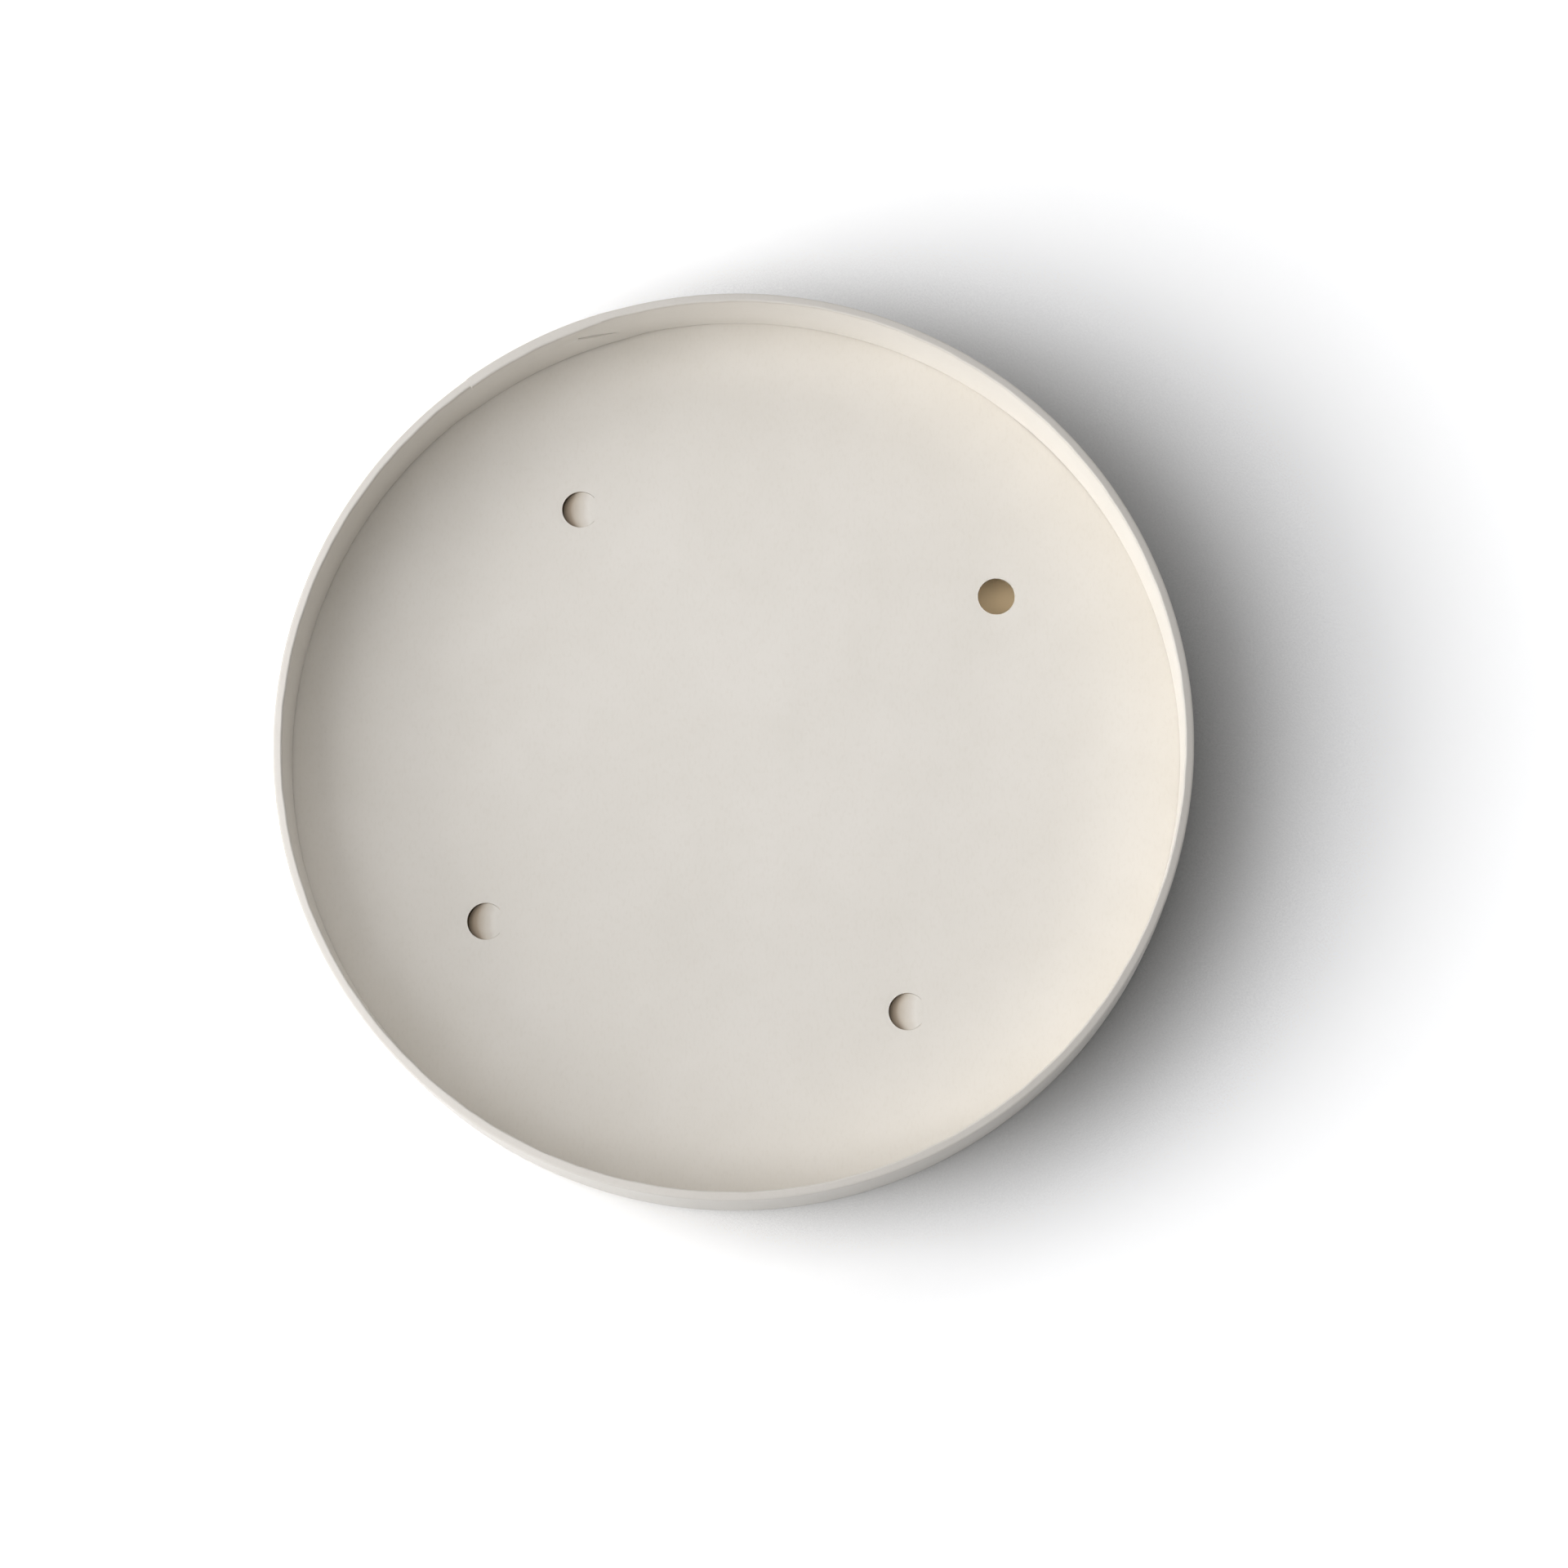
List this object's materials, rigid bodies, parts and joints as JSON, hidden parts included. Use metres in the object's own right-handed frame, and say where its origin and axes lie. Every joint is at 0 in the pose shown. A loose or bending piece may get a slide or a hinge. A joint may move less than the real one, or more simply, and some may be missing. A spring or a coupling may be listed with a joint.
{
  "type": "paperboard cup lid",
  "caption": "Round vented paperboard lid for a paper food cup: a flanged disc held in a rolled, hemmed side ring, lying open side up.",
  "frame": {"origin": "centre of the folded hem that the lid rests on, in the resting plane", "axes": "+Z out of the open side of the lid, along its axis; the seam lies between 106 and 126 degrees from +X; the vent flaps are hinged on their +X side"},
  "size_m": [0.1174, 0.1174, 0.0165],
  "materials": {
    "disc_board": "matt off-white cup board",
    "ring_board": "matt off-white cup board, slightly glossy where it is folded"
  },
  "bodies": {
    "root": {"top_disc": "disc_board", "side_ring": "ring_board"}
  },
  "joints": []
}
